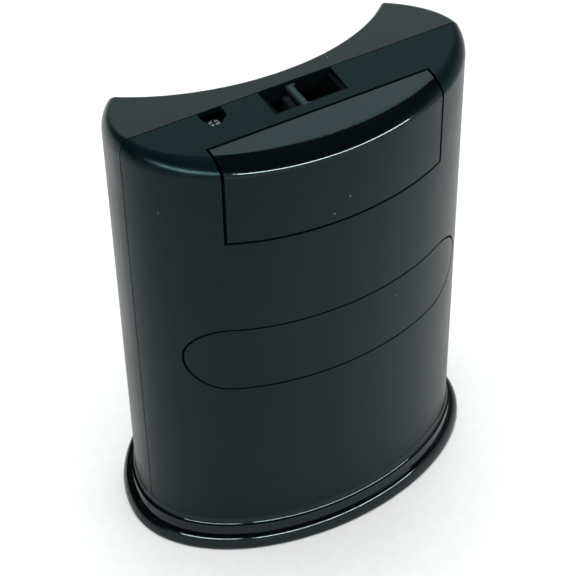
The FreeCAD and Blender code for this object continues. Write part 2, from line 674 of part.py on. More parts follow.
def gear_wire(teeth, y, turn, backlash):
    """A closed outline of a spur gear across Y: five points up each involute flank."""
    pressure = math.radians(25)
    pitch_r = GEAR_MODULE * teeth / 2
    base_r = pitch_r * math.cos(pressure)
    tip_r = pitch_r + 0.8 * GEAR_MODULE
    root_r = pitch_r - 1.05 * GEAR_MODULE
    half_pitch = (math.pi / 2 * GEAR_MODULE - backlash) / (2 * pitch_r)
    flank = []
    start = max(base_r, root_r + 0.05)
    for step in range(4):
        r = start + (tip_r - start) * step / 3
        lean = involute(pressure) - involute(math.acos(min(1.0, base_r / r)))
        flank.append((r, half_pitch + lean))
    points = []
    for tooth in range(teeth):
        centre = turn + 2 * math.pi * tooth / teeth
        side = [(root_r, flank[0][1])] + flank
        for r, half in side:
            points.append((r, centre - half))
        for r, half in reversed(side):
            points.append((r, centre + half))
    corners = [V(r * math.cos(a), y, r * math.sin(a)) for r, a in points]
    return Part.makePolygon(corners + corners[:1])


def spur_gear(teeth, x, z, y0, y1, turn, backlash):
    gear = Part.Face(gear_wire(teeth, y0, turn, backlash)).extrude(V(0, y1 - y0, 0))
    gear.translate(V(x, 0, z))
    return gear


def helical_gear(teeth, x, z, y0, y1, turn, backlash):
    """The worm wheel: its teeth lean by the lead angle of the right-handed worm above it."""
    sections = []
    mid = (y0 + y1) / 2
    pitch_r = GEAR_MODULE * teeth / 2
    for step in range(3):
        y = y0 + (y1 - y0) * step / 2
        lean = (mid - y) * math.tan(LEAD_ANGLE) / pitch_r
        sections.append(gear_wire(teeth, y, turn + lean, backlash))
    gear = Part.makeLoft(sections, True, True)
    gear.translate(V(x, 0, z))
    return gear


def reduction_gear():
    """Worm wheel and pinion in one moulding, free on its axle."""
    wheel = helical_gear(REDUCTION_TEETH, WORM_X, REDUCTION_Z, DRIVE_Y - 3, DRIVE_Y + 3,
                         REDUCTION_TURN, 0.36)
    relief = tube(11.6, 6.4, (WORM_X, DRIVE_Y - 4, REDUCTION_Z), (WORM_X, DRIVE_Y - 1.4, REDUCTION_Z))
    pinion = spur_gear(PINION_TEETH, WORM_X, REDUCTION_Z, DRIVE_Y + 2.5, DRIVE_Y + 8.6, PINION_TURN, 0.2)
    hub = y_rod(4.2, WORM_X, REDUCTION_Z, FRONT_PLATE_Y + PLATE + 0.3, DRIVE_Y - 2)
    gear = union([wheel.cut(relief), pinion, hub])
    return gear.cut(y_rod(AXLE_R + RUNNING, WORM_X, REDUCTION_Z, WIDE_Y - 5, WIDE_Y + 30))


def reduction_axle():
    return y_rod(AXLE_R, WORM_X, REDUCTION_Z, FRONT_PLATE_Y - 0.5, REAR_PLATE_Y + PLATE + 0.5)


def final_gear():
    y0 = DRIVE_Y + 3.6
    y1 = DRIVE_Y + 8.4
    gear = spur_gear(FINAL_TEETH, 0, FEED_Z, y0, y1, FINAL_TURN, 0.2)
    for ya, yb in ((y0 - 1, y0 + 1.5), (y1 - 1.5, y1 + 1)):
        gear = gear.cut(tube(31.5, 11.0, (0, ya, FEED_Z), (0, yb, FEED_Z)))
    for index in range(6):
        angle = math.pi / 3 * index
        x = 21.2 * math.cos(angle)
        z = FEED_Z + 21.2 * math.sin(angle)
        gear = gear.cut(y_rod(5.5, x, z, y0 - 1, y1 + 1))
    hub = y_rod(8.0, 0, FEED_Z, FRONT_PLATE_Y + PLATE + 0.4, y1)
    return gear.fuse(hub).removeSplitter().cut(feed_section(FEED_SHAFT_R, WIDE_Y, WIDE_Y + 30))


def feed_section(radius, y0, y1):
    """A round bar with one flat, which carries the gear's drive to the shaft."""
    bar = y_rod(radius, 0, FEED_Z, y0, y1)
    return bar.cut(box(-10, 10, y0 - 1, y1 + 1, FEED_Z + radius - 0.9, FEED_Z + radius + 5))


def feed_shaft():
    inner = feed_section(FEED_SHAFT_R, FRONT_PLATE_Y + PLATE + 0.4, REAR_PLATE_Y - 0.5)
    middle = y_rod(FEED_SHAFT_R, 0, FEED_Z, WIDE_Y - 7.1, FRONT_PLATE_Y + PLATE + 0.4)
    nose = feed_section(FEED_SHAFT_R - 0.8, FEED_FRONT_Y - 0.2, WIDE_Y - 7.1)
    tail = y_rod(2.5, 0, FEED_Z, REAR_PLATE_Y - 0.5, REAR_PLATE_Y + PLATE + 0.8)
    return union([inner, middle, nose, tail])


def feed_bush():
    bush = y_rod(BUSH_R, 0, FEED_Z, WEAR_SEAT_Y, FRONT_PLATE_Y + PLATE)
    flange = y_rod(8.5, 0, FEED_Z, WIDE_Y - 7.0, WEAR_SEAT_Y)
    bore = y_rod(FEED_SHAFT_R + RUNNING, 0, FEED_Z, WIDE_Y - 20, WIDE_Y + 20)
    return bush.fuse(flange).removeSplitter().cut(bore)


def feed_wheel():
    """Serrated wheel that grips under the can's rim."""
    teeth = 30
    y0 = FEED_FRONT_Y
    y1 = WEAR_FACE_Y
    points = []
    for tooth in range(teeth):
        for radius, part in ((FEED_R - 0.9, -0.5), (FEED_R, -0.12), (FEED_R, 0.12)):
            angle = 2 * math.pi * (tooth + part) / teeth
            points.append((radius * math.cos(angle), y0, FEED_Z + radius * math.sin(angle)))
    wheel = prism(points, (0, y1 - y0, 0))
    cone = Part.makeCone(FEED_R - 1.2, FEED_R + 2.3, 3.5, V(0, y0 - 0.01, FEED_Z), Y_AXIS)
    wheel = wheel.common(cone.fuse(y_rod(FEED_R + 2, 0, FEED_Z, y0 + 3.4, y1 + 1)))
    return wheel.cut(feed_section(FEED_SHAFT_R - 0.8, y0 - 2, y1 + 2))


def feed_clip():
    """Snap ring on the front end of the feed shaft."""
    y0 = FEED_FRONT_Y - 0.2
    return y_rod(2.3, 0, FEED_Z, y0 - 0.35, y0)


# ---------------------------------------------------------------- chassis
def chassis_outline():
    return [(-42, FEED_Z + 32), (-42, FEED_Z - 32), (42, FEED_Z - 32), (50, FEED_Z + 14),
            (50, FEED_Z + 36), (-30, FEED_Z + 36)]


def chassis_front():
    """Front plate with four posts and the two walls that carry the motor and the worm's bearing."""
    y0 = FRONT_PLATE_Y
    y1 = y0 + PLATE
    plate = rounded_plate(chassis_outline(), 4, y0, y1)
    added = [y_rod(4.0, x, z, y0, REAR_PLATE_Y) for x, z in POST_PLACES]
    deep = REAR_PLATE_Y - 0.4
    added.append(box(CHASSIS_MOTOR_X[0], CHASSIS_MOTOR_X[1], y0 - 4, deep, FEED_Z + 30, DRIVE_Z + 11))
    bearing_top = DRIVE_Z + 5.5
    added.append(box(CHASSIS_END_X - 3, CHASSIS_END_X + 6, y0, y1, FEED_Z + 30, bearing_top))
    added.append(box(CHASSIS_END_X, CHASSIS_END_X + 2, y0, deep, DRIVE_Z - 5, bearing_top))
    frame = union([plate] + added)
    frame = frame.cut(x_rod(4.0, CHASSIS_MOTOR_X[0] - 3, CHASSIS_MOTOR_X[1] + 3))
    frame = frame.cut(x_rod(4.0, CHASSIS_END_X - 1, CHASSIS_END_X + 3))
    frame = frame.cut(y_rod(BUSH_R, 0, FEED_Z, y0 - 1, y1 + 1))
    frame = frame.cut(y_rod(AXLE_R, WORM_X, REDUCTION_Z, y0 - 1, y1 + 1))
    for x, z in POST_PLACES:
        frame = frame.cut(y_rod(POST_SCREW_R, x, z, y0 - 5, REAR_PLATE_Y + 1))
    for side in (-1, 1):
        hole = rod(1.1, (-40, DRIVE_Y, DRIVE_Z + side * 7.5), (-20, DRIVE_Y, DRIVE_Z + side * 7.5))
        frame = frame.cut(hole)
    return frame


def chassis_rear():
    y0 = REAR_PLATE_Y
    y1 = y0 + PLATE
    plate = rounded_plate(chassis_outline(), 4, y0, y1)
    plate = plate.cut(y_rod(2.5 + RUNNING, 0, FEED_Z, y0 - 1, y1 + 1))
    plate = plate.cut(y_rod(AXLE_R, WORM_X, REDUCTION_Z, y0 - 1, y1 + 1))
    for x, z in POST_PLACES:
        plate = plate.cut(y_rod(POST_SCREW_R, x, z, y0 - 1, y1 + 1))
    for x0, x1, top in ((-30, -12, 24), (12, 30, 12)):
        low = FEED_Z - 24
        high = FEED_Z + top
        corners = [(x0, low), (x1, low), (x1, high), (x0, high)]
        plate = plate.cut(rounded_plate(corners, 4, y0 - 1, y1 + 1))
    return plate


def chassis_screws():
    screws = []
    y_head = REAR_PLATE_Y + PLATE + 1.4
    for x, z in POST_PLACES:
        head = cross_head(x, z, y_head, WIDE_Y, 2.8, 1.4)
        shank = y_rod(POST_SCREW_R, x, z, FRONT_PLATE_Y - 6, y_head - 0.9)
        screws.append(head.fuse(shank).removeSplitter())
    return Part.makeCompound(screws)


def motor_screws():
    screws = []
    x0, x1 = CHASSIS_MOTOR_X
    for side in (-1, 1):
        z = DRIVE_Z + side * 7.5
        head = rod(2.2, (x1, DRIVE_Y, z), (x1 + 1.3, DRIVE_Y, z))
        shank = rod(1.1, (x0, DRIVE_Y, z), (x1 + 0.2, DRIVE_Y, z))
        slot = box(x1 + 0.7, x1 + 2, DRIVE_Y - 1.6, DRIVE_Y + 1.6, z - 0.3, z + 0.3)
        screws.append(head.fuse(shank).removeSplitter().cut(slot))
    return Part.makeCompound(screws)


# ---------------------------------------------------------------- front fittings
def wear_outline(grow):
    """Front view of the wear plate, wider at the top where the rim guides stand."""
    side = 19 + grow
    low = FEED_Z - 14 - grow
    high = FEED_Z + 15 + grow
    return [(-side, FEED_Z - 4), (-9, low), (9, low), (side, FEED_Z - 4), (side, high), (-side, high)]


def wear_plate():
    """Bright plate behind the feed wheel."""
    y0 = WEAR_FACE_Y
    y1 = WEAR_SEAT_Y
    plate = rounded_plate(wear_outline(0), WEAR_CORNER, y0, y1)
    plate = plate.cut(y_rod(10.6, 0, FEED_Z, y0 - 1, y1 + 1))
    return plate


def rim_guides():
    """Two posts that steady the can's rim."""
    posts = []
    for x in (-14.5, 14.5):
        z = FEED_Z + 10.5
        post = y_rod(2.4, x, z, WIDE_Y - 13.4, WEAR_FACE_Y)
        nose = [e for e in post.Edges if abs(e.CenterOfMass.y - (WIDE_Y - 13.4)) < 0.01 and e.Length > 10]
        posts.append(post.makeFillet(1.2, nose))
    return Part.makeCompound(posts)


def lever_outline():
    """Front view of the lever: a hub round the pivot, an arm, and a wide thumb pad."""
    hub = y_rod(10.0, PIVOT_X, PIVOT_Z, WIDE_Y - 60, WIDE_Y)
    arm = prism([(PIVOT_X, WIDE_Y - 60, PIVOT_Z + 10), (-20, WIDE_Y - 60, PIVOT_Z + 4),
                 (-53, WIDE_Y - 60, PIVOT_Z + 3), (-53, WIDE_Y - 60, PIVOT_Z - 11),
                 (-22, WIDE_Y - 60, PIVOT_Z - 13), (-8, WIDE_Y - 60, PIVOT_Z - 14),
                 (14, WIDE_Y - 60, PIVOT_Z - 13), (PIVOT_X, WIDE_Y - 60, PIVOT_Z - 10)], (0, 60, 0))
    ends = [e for e in arm.Edges if e.CenterOfMass.x < -50 and abs(e.tangentAt(e.FirstParameter).y) > 0.9]
    return hub.fuse(arm.makeFillet(4.5, ends)).removeSplitter()


def lever_handle():
    """Moulded lever that follows the curve of the can bay."""
    z0 = PIVOT_Z - 30
    z1 = PIVOT_Z + 30
    band = bay_cutter(HANDLE_R[1], z0, z1)
    flat = box(-16, 40, WIDE_Y - 40, LEVER_PLATE_Y[0], z0, z1)
    block = band.common(box(-60, 40, WIDE_Y - 60, LEVER_PLATE_Y[0], z0, z1)).fuse(flat)
    block = block.cut(bay_cutter(HANDLE_R[0], z0, z1))
    handle = lever_outline().common(block).removeSplitter()
    face_r = HANDLE_R[0] + 0.1
    face_edges = [e for e in handle.Edges
                  if all(math.hypot(v.X, v.Y - BAY_CENTRE_Y) < face_r for v in e.Vertexes)]
    handle = handle.makeFillet(1.2, face_edges)
    handle = handle.cut(y_rod(PIVOT_R + RUNNING, PIVOT_X, PIVOT_Z, WIDE_Y - 60, WIDE_Y))
    handle = handle.cut(y_rod(5.2, PIVOT_X, PIVOT_Z, WIDE_Y - 60, WIDE_Y - 25.5))
    handle = handle.cut(y_rod(1.5, 0, CUTTER_Z, WIDE_Y - 21.5, WIDE_Y))
    cam = box(-25.5, -18.5, WIDE_Y - 18.5, WIDE_Y - 12.2, PIVOT_Z - 4, PIVOT_Z + 4)
    return handle.fuse(cam).removeSplitter()


def lever_plate():
    """Steel plate that carries the cutter, screwed to the back of the lever."""
    y0, y1 = LEVER_PLATE_Y
    hub = y_rod(6.8, PIVOT_X, PIVOT_Z, y0, y1)
    boss = y_rod(6.8, 0, CUTTER_Z, y0, y1)
    arm = prism([(PIVOT_X - 1, y0, PIVOT_Z + 6.7), (-1, y0, CUTTER_Z + 6.7), (1, y0, CUTTER_Z - 6.7),
                 (PIVOT_X + 1, y0, PIVOT_Z - 6.7)], (0, y1 - y0, 0))
    plate = union([hub, boss, arm])
    plate = plate.cut(y_rod(PIVOT_R + RUNNING, PIVOT_X, PIVOT_Z, y0 - 1, y1 + 1))
    return plate.cut(y_rod(1.5, 0, CUTTER_Z, y0 - 1, y1 + 1))


def lever_pivot():
    """Headed post through the lever into the bay wall."""
    post = y_rod(PIVOT_R, PIVOT_X, PIVOT_Z, WIDE_Y - 26.0, WIDE_Y - 4.4)
    head = cross_head(PIVOT_X, PIVOT_Z, WIDE_Y - 27.6, WIDE_Y, 5.0, 2.0)
    return post.fuse(head).removeSplitter()


def cutter_wheel():
    y0 = CUTTER_REAR_Y
    disc = Part.makeCone(CUTTER_R - 1.6, CUTTER_R, 0.9, V(0, y0 - 1.2, CUTTER_Z), Y_AXIS)
    edge = Part.makeCone(CUTTER_R, CUTTER_R - 0.5, 0.3, V(0, y0 - 0.3, CUTTER_Z), Y_AXIS)
    hub = y_rod(4.2, 0, CUTTER_Z, LEVER_PLATE_Y[1] + 0.15, y0 - 1.0)
    wheel = union([disc, edge, hub])
    return wheel.cut(y_rod(2.0 + RUNNING, 0, CUTTER_Z, y0 - 20, y0 + 20))


def cutter_screw():
    """Shouldered screw: the cutter turns on the shoulder, the thread holds it to the lever."""
    y0 = CUTTER_REAR_Y
    head = cross_head(0, CUTTER_Z, y0 + 1.7, y0 - 10, 3.6, 1.5)
    shoulder = y_rod(2.0, 0, CUTTER_Z, LEVER_PLATE_Y[1], y0 + 0.3)
    thread = y_rod(1.5, 0, CUTTER_Z, WIDE_Y - 20.5, LEVER_PLATE_Y[1])
    return union([head, shoulder, thread])


def magnet_lugs():
    """Two ears on the front of the lever that the magnet's arm hangs between."""
    x, y, z = MAGNET_PIVOT
    ears = []
    for side in (-1, 1):
        x0, x1 = sorted((side * 4.3, side * 6.8))
        ear = box(x0, x1, y, WIDE_Y - 22.0, z - 3, z + 3).fuse(rod(3, (x0, y, z), (x1, y, z)))
        ears.append(ear.removeSplitter().cut(rod(1.25, (x0 - 1, y, z), (x1 + 1, y, z))))
    return ears


def magnet_pin():
    x, y, z = MAGNET_PIVOT
    return rod(1.25, (-6.8, y, z), (6.8, y, z))


def magnet_arm():
    x, y, z = MAGNET_PIVOT
    eye = rod(2.8, (-4.0, y, z), (4.0, y, z))
    link = prism([(-3.2, y, z - 2.8), (-3.2, y - 2.6, z + 1.0), (-3.2, MAGNET_Y + 2, MAGNET_Z + 6.6),
                  (-3.2, MAGNET_Y + 4, MAGNET_Z + 4.2)], (6.4, 0, 0))
    cup = rod(8.4, (0, MAGNET_Y, MAGNET_Z + 1.5), (0, MAGNET_Y, MAGNET_Z + 6.6))
    crown = [e for e in cup.Edges if e.CenterOfMass.z > MAGNET_Z + 6.5 and e.Length > 40]
    cup = cup.makeFillet(1.5, crown)
    cup = cup.cut(rod(7.2, (0, MAGNET_Y, MAGNET_Z + 1.0), (0, MAGNET_Y, MAGNET_Z + 4.0)))
    arm = union([eye, link, cup])
    arm = arm.cut(rod(7.2, (0, MAGNET_Y, MAGNET_Z), (0, MAGNET_Y, MAGNET_Z + 4.0)))
    return arm.cut(rod(1.25 + RUNNING, (-6, y, z), (6, y, z)))


def magnet():
    disc = rod(7.2, (0, MAGNET_Y, MAGNET_Z), (0, MAGNET_Y, MAGNET_Z + 4.0))
    rim = [e for e in disc.Edges if e.CenterOfMass.z < MAGNET_Z + 0.1 and e.Length > 40]
    return disc.makeChamfer(0.5, rim)


# ---------------------------------------------------------------- switch and board
def switch_body():
    """Snap switch behind the bay wall."""
    y0 = WIDE_Y - 1.8
    y1 = FRONT_PLATE_Y - 0.1
    return box(SWITCH_X - 3.2, SWITCH_X + 3.2, y0, y1, PIVOT_Z - 8, PIVOT_Z + 8)


def switch_plunger():
    """Round-nosed button through the bay wall, pressed by the lever's cam."""
    nose = WIDE_Y - 11.8
    button = y_rod(PLUNGER_R, SWITCH_X, PIVOT_Z, nose, WIDE_Y - 4.0)
    tip = [e for e in button.Edges if abs(e.CenterOfMass.y - nose) < 0.01 and e.Length > 10]
    return button.makeFillet(1.2, tip)


def rectifier_board():
    board = box(-BOARD_HALF_WIDTH, BOARD_HALF_WIDTH, BOARD_Y, BOARD_Y + 1.6, BOARD_Z[0], BOARD_Z[1])
    for x, z in BOARD_SCREW_PLACES:
        board = board.cut(y_rod(1.3, x, z, BOARD_Y - 1, BOARD_Y + 3))
    return board


def board_components():
    """Four diodes, a disc varistor, a capacitor and a terminal block."""
    y = BOARD_Y + 1.6
    parts = []
    for index in range(4):
        x = -13.0 + index * 5.0
        parts.append(rod(1.5, (x, y + 1.5, 73.0), (x, y + 1.5, 79.0)))
    parts.append(y_rod(4.5, 12.0, 80.0, y, y + 3.6))
    parts.append(y_rod(4.0, -10.0, 86.5, y, y + 10.0))
    parts.append(box(2.0, 16.0, y, y + 7.0, 87.0, 91.0))
    return Part.makeCompound(parts)


def board_screws():
    screws = []
    for x, z in BOARD_SCREW_PLACES:
        head = cross_head(x, z, BOARD_Y + 2.9, WIDE_Y, 2.3, 1.3)
        screws.append(head.fuse(y_rod(1.0, x, z, BOARD_Y - 4.0, BOARD_Y + 2.0)).removeSplitter())
    return Part.makeCompound(screws)


def main():
    os.makedirs("parts", exist_ok=True)
    export("front_housing", front_housing())
    export("rear_housing", rear_housing())
    export("rear_inlay", rear_inlay())
    export("caddy_tray", caddy_tray())
    export("caddy_cap", caddy_cap())
    for side in ("front", "rear"):
        export(side + "_base_ring", union([base_ring(side)] + base_bosses(side)))
    export("base_plate", base_plate())
    export("rubber_feet", rubber_feet())
    export("base_screws", base_screws())
    export("cord_gland", cord_gland())
    export("housing_screws", housing_screws())
    export("pocket_screw", pocket_screw())
    export("sharpener_guide", sharpener_guide())
    export("motor_can", motor_can())
    export("motor_end_cap", motor_end_cap())
    export("motor_terminals", motor_terminals())
    export("motor_screws", motor_screws())
    export("motor_shaft", motor_shaft())
    export("worm", worm())
    export("sharpening_stone", sharpening_stone())
    export("stone_collars", stone_collars())
    export("shaft_bearing", shaft_bearing())
    export("chassis_front", chassis_front())
    export("chassis_rear", chassis_rear())
    export("chassis_screws", chassis_screws())
    export("reduction_axle", reduction_axle())
    export("reduction_gear", reduction_gear())
    export("final_gear", final_gear())
    export("feed_shaft", feed_shaft())
    export("feed_bush", feed_bush())
    export("feed_wheel", feed_wheel())
    export("feed_clip", feed_clip())
    export("wear_plate", wear_plate())
    export("rim_guides", rim_guides())
    export("lever_handle", union([lever_handle()] + magnet_lugs()))
    export("lever_plate", lever_plate())
    export("lever_pivot", lever_pivot())
    export("cutter_wheel", cutter_wheel())
    export("cutter_screw", cutter_screw())
    export("magnet_arm", magnet_arm())
    export("magnet_pin", magnet_pin())
    export("magnet", magnet())
    export("switch_body", switch_body())
    export("switch_plunger", switch_plunger())
    export("rectifier_board", rectifier_board())
    export("board_components", board_components())
    export("board_screws", board_screws())


main()
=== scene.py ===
import bmesh
import bpy
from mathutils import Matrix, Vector


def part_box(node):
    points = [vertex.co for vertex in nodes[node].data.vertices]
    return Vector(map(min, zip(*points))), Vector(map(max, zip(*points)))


# sizes in metres unless the name says otherwise
DIVIDER_HALF = 0.0019       # half the thickness of the bar between the sharpener's slots
DIVIDER_RUB = 0.0030        # how far down the bar blades have rubbed it
EDGE_RUB_AND_HIGHLIGHT = 0.0006           # radius within which the case's sharp edges are rubbed and painted lighter as a highlight
FLOOR_HALF = 3.0
MIDDLE = (0.0, 0.0, 0.12)   # what the lights aim at

CAMERA_PLACE = (0.2894, 0.53575, 0.6994)
CAMERA_TARGET = (-0.0179, 0.00685, 0.1212)
FOCAL_MM = 118.8
SENSOR_MM = 36.0
FRAME_SHIFT = (-0.069, -0.0665)

# softboxes: name, place, size in metres, watts, colour, seen in gloss, lights the surfaces
PANELS = [
    ("overhead", (0.0, 0.0, 2.2), (3.2, 3.2), 92.0, (1.0, 1.0, 1.0), False, True),
    ("far_panel", (-0.62, -1.06, 1.45), (1.15, 0.55), 3.6, (0.80, 1.0, 1.0), True, True),
    ("rear_strip", (-0.52, 1.93, 1.12), (2.8, 0.26), 120.0, (1.0, 1.0, 1.0), True, False),
    ("corner_strip", (1.45, 1.35, 1.30), (1.5, 0.26), 60.0, (1.0, 1.0, 1.0), True, False),
]

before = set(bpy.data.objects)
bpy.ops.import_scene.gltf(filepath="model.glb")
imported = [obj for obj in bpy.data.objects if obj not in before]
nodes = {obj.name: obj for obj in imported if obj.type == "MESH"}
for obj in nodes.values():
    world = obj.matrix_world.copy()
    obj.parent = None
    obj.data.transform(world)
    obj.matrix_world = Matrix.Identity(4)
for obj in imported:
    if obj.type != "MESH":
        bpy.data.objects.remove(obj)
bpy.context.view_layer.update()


# ---------------------------------------------------------------- node helpers
class Mat:
    """A material in the making: short calls that add and link its nodes."""

    def __init__(self, name):
        self.mat = bpy.data.materials.new(name)
        self.mat.use_nodes = True
        self.tree = self.mat.node_tree
        self.shader = self.tree.nodes["Principled BSDF"]
        self.place = self.add("ShaderNodeTexCoord").outputs["Object"]

    def add(self, kind, **settings):
        node = self.tree.nodes.new(kind)
        for key, value in settings.items():
            setattr(node, key, value)
        return node

    def link(self, out, into):
        self.tree.links.new(out, into)

    def set(self, **sockets):
        """Constants on the shader's own sockets; underscores stand for spaces."""
        for key, value in sockets.items():
            self.shader.inputs[key.replace("_", " ")].default_value = value

    def stretched(self, scale):
        """Object coordinates scaled by (x, y, z)."""
        mapping = self.add("ShaderNodeMapping")
        mapping.inputs["Scale"].default_value = scale
        self.link(self.place, mapping.inputs["Vector"])
        return mapping.outputs["Vector"]

    def noise(self, scale, detail=2.0, roughness=0.5, where=None):
        node = self.add("ShaderNodeTexNoise")
        node.inputs["Scale"].default_value = scale
        node.inputs["Detail"].default_value = detail
        node.inputs["Roughness"].default_value = roughness
        self.link(where or self.place, node.inputs["Vector"])
        return node.outputs["Fac"]

    def cells(self, scale, feature="F1", where=None):
        node = self.add("ShaderNodeTexVoronoi", feature=feature)
        node.inputs["Scale"].default_value = scale
        self.link(where or self.place, node.inputs["Vector"])
        return node

    def remap(self, value, low, high, to_low=0.0, to_high=1.0):
        node = self.add("ShaderNodeMapRange")
        node.inputs["From Min"].default_value = low
        node.inputs["From Max"].default_value = high
        node.inputs["To Min"].default_value = to_low
        node.inputs["To Max"].default_value = to_high
        self.link(value, node.inputs["Value"])
        return node.outputs["Result"]

    def ramp(self, value, stops):
        """A colour ramp from (position, (r, g, b)) stops."""
        node = self.add("ShaderNodeValToRGB")
        band = node.color_ramp
        while len(band.elements) < len(stops):
            band.elements.new(0.5)
        for element, (position, colour) in zip(band.elements, stops):
            element.position = position
            element.color = (*colour, 1.0)
        self.link(value, node.inputs["Fac"])
        return node.outputs["Color"]

    def math(self, operation, first, second):
        node = self.add("ShaderNodeMath", operation=operation)
        for socket, value in zip(node.inputs, (first, second)):
            if isinstance(value, (int, float)):
                socket.default_value = value
            else:
                self.link(value, socket)
        return node.outputs["Value"]

    def blend(self, factor, first, second):
        """Mix two colours by a textured factor; each may be a socket or a constant."""
        node = self.add("ShaderNodeMix", data_type="RGBA")
        self.link(factor, node.inputs["Factor"])
        for key, value in (("A", first), ("B", second)):
            socket = [s for s in node.inputs if s.name == key and s.type == "RGBA"][0]
            if isinstance(value, tuple):
                socket.default_value = (*value, 1.0)
            else:
                self.link(value, socket)
        return [s for s in node.outputs if s.type == "RGBA"][0]

    def colour(self, socket):
        self.link(socket, self.shader.inputs["Base Color"])

    def rough(self, socket):
        self.link(socket, self.shader.inputs["Roughness"])

    def bump(self, height, distance, strength=1.0, under=None):
        node = self.add("ShaderNodeBump")
        node.inputs["Distance"].default_value = distance
        node.inputs["Strength"].default_value = strength
        self.link(height, node.inputs["Height"])
        if under is not None:
            self.link(under, node.inputs["Normal"])
        return node.outputs["Normal"]

    def normal(self, socket):
        self.link(socket, self.shader.inputs["Normal"])
        return self.mat


def worn_and_highlit_edges(m, radius):
    """Where the surface turns a corner: 1 on an edge that is rubbed and carries a painted highlight, 0
    on a flat.
    """
    bevel = m.add("ShaderNodeBevel", samples=4)
    bevel.inputs["Radius"].default_value = radius
    dot = m.add("ShaderNodeVectorMath", operation="DOT_PRODUCT")
    geometry = m.add("ShaderNodeNewGeometry")
    m.link(bevel.outputs["Normal"], dot.inputs[0])
    m.link(geometry.outputs["Normal"], dot.inputs[1])
    return m.remap(dot.outputs["Value"], 0.99, 0.80)


def within(m, value, centre, half, soft):
    """1 where a coordinate lies within half of centre, fading to 0 over soft."""
    off = m.math("ABSOLUTE", m.math("SUBTRACT", value, centre), 0.0)
    return m.remap(off, half, half + soft, 1.0, 0.0)


def rolled_edge(m):
    """1 where the surface leans between wall and roof, 0 on the upright and the level faces."""
    geometry = m.add("ShaderNodeNewGeometry")
    axes = m.add("ShaderNodeSeparateXYZ")
    m.link(geometry.outputs["Normal"], axes.inputs["Vector"])
    return within(m, axes.outputs["Z"], 0.55, 0.33, 0.10)


# ---------------------------------------------------------------- plastics
def case_matte():
    """Spark-textured black ABS: fine grain, smoother over the rolled edges, cloudy, dusty, and rubbed
    lighter along the sharp edges, which also paints a highlight there.
    """
    m = Mat("case_matte")
    cloud = m.noise(28.0, 3.0)
    grain = m.noise(3000.0, 2.0, 0.6)
    base = m.ramp(cloud, [(0.30, (0.0005, 0.0038, 0.0042)), (0.70, (0.0012, 0.0058, 0.0062))])
    pepper = m.remap(m.noise(5200.0, 1.0), 0.35, 0.75, 0.0, 0.30)
    base = m.blend(pepper, base, (0.0046, 0.0130, 0.0134))
    # sharp edges lightened to a pale teal: real rubbing wear and a painted highlight line along each
    # edge
    rubbed = m.math("MULTIPLY", worn_and_highlit_edges(m, EDGE_RUB_AND_HIGHLIGHT), m.noise(700.0, 3.0))
    base = m.blend(m.remap(rubbed, 0.25, 0.9, 0.0, 0.5), base, (0.022, 0.032, 0.032))
    speck = m.cells(210.0)
    rare = m.remap(m.noise(95.0, 1.0), 0.66, 0.68)
    dust = m.math("MULTIPLY", m.remap(speck.outputs["Distance"], 0.060, 0.035), rare)
    m.colour(m.blend(dust, base, (0.42, 0.44, 0.43)))
    scuff = m.noise(1.0, 4.0, 0.7, m.stretched((260.0, 260.0, 26.0)))
    smooth = m.remap(cloud, 0.3, 0.7, 0.29, 0.34)
    smooth = m.math("ADD", smooth, m.remap(scuff, 0.62, 0.80, 0.0, -0.07))
    m.rough(m.math("ADD", smooth, m.remap(rolled_edge(m), 0.0, 1.0, 0.0, -0.11)))
    m.set(Specular_IOR_Level=0.13, Specular_Tint=(0.50, 0.95, 0.98, 1.0))
    return m.normal(m.bump(grain, 0.00008, 0.6))


def trim_gloss():
    """Polished black ABS with a slight sink wave, settled dust and fine polishing hairlines."""
    m = Mat("trim_gloss")
    wave = m.noise(38.0, 2.0)
    hair = m.noise(1.0, 5.0, 0.8, m.stretched((150.0, 1900.0, 1900.0)))
    dust = m.remap(m.cells(620.0).outputs["Distance"], 0.07, 0.03)
    rare = m.math("MULTIPLY", dust, m.remap(m.noise(240.0, 1.0), 0.66, 0.70))
    base = m.ramp(wave, [(0.3, (0.0006, 0.0016, 0.0020)), (0.7, (0.0012, 0.0024, 0.0028))])
    m.colour(m.blend(rare, base, (0.25, 0.26, 0.26)))
    m.rough(m.math("ADD", m.remap(hair, 0.55, 0.85, 0.07, 0.16), m.remap(rare, 0.0, 1.0, 0.0, 0.4)))
    m.set(Specular_IOR_Level=0.3, Specular_Tint=(0.74, 0.97, 1.0, 1.0))
    return m.normal(m.bump(wave, 0.0004, 0.12))


def guide_black_painted_shade():
    """Black nylon of the sharpener's guide, coloured a deep black that paints the shade inside the slot;
    blades have rubbed the top of its divider grey.
    """
    m = Mat("guide_black_painted_shade")
    low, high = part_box("sharpening_stone")
    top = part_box("sharpener_guide")[1].z
    axes = m.add("ShaderNodeSeparateXYZ")
    m.link(m.place, axes.inputs["Vector"])
    divider = within(m, axes.outputs["X"], (low.x + high.x) / 2, DIVIDER_HALF, 0.0003)
    crest = m.remap(axes.outputs["Z"], top - DIVIDER_RUB, top)
    rubbed = m.math("MULTIPLY", divider, crest)
    slurry = m.noise(520.0, 4.0, 0.7)
    # painted shade: this black sits far below plain black plastic to darken the sharpener well
    black = m.ramp(slurry, [(0.50, (0.0002, 0.0006, 0.0007)), (0.85, (0.0020, 0.0034, 0.0036))])
    m.colour(m.blend(rubbed, black, (0.026, 0.040, 0.042)))
    m.rough(m.remap(slurry, 0.3, 0.7, 0.46, 0.62))
    m.set(Specular_IOR_Level=0.06, Specular_Tint=(0.5, 0.95, 1.0, 1.0))
    return m.normal(m.bump(m.noise(1700.0, 2.0), 0.00004, 0.5))


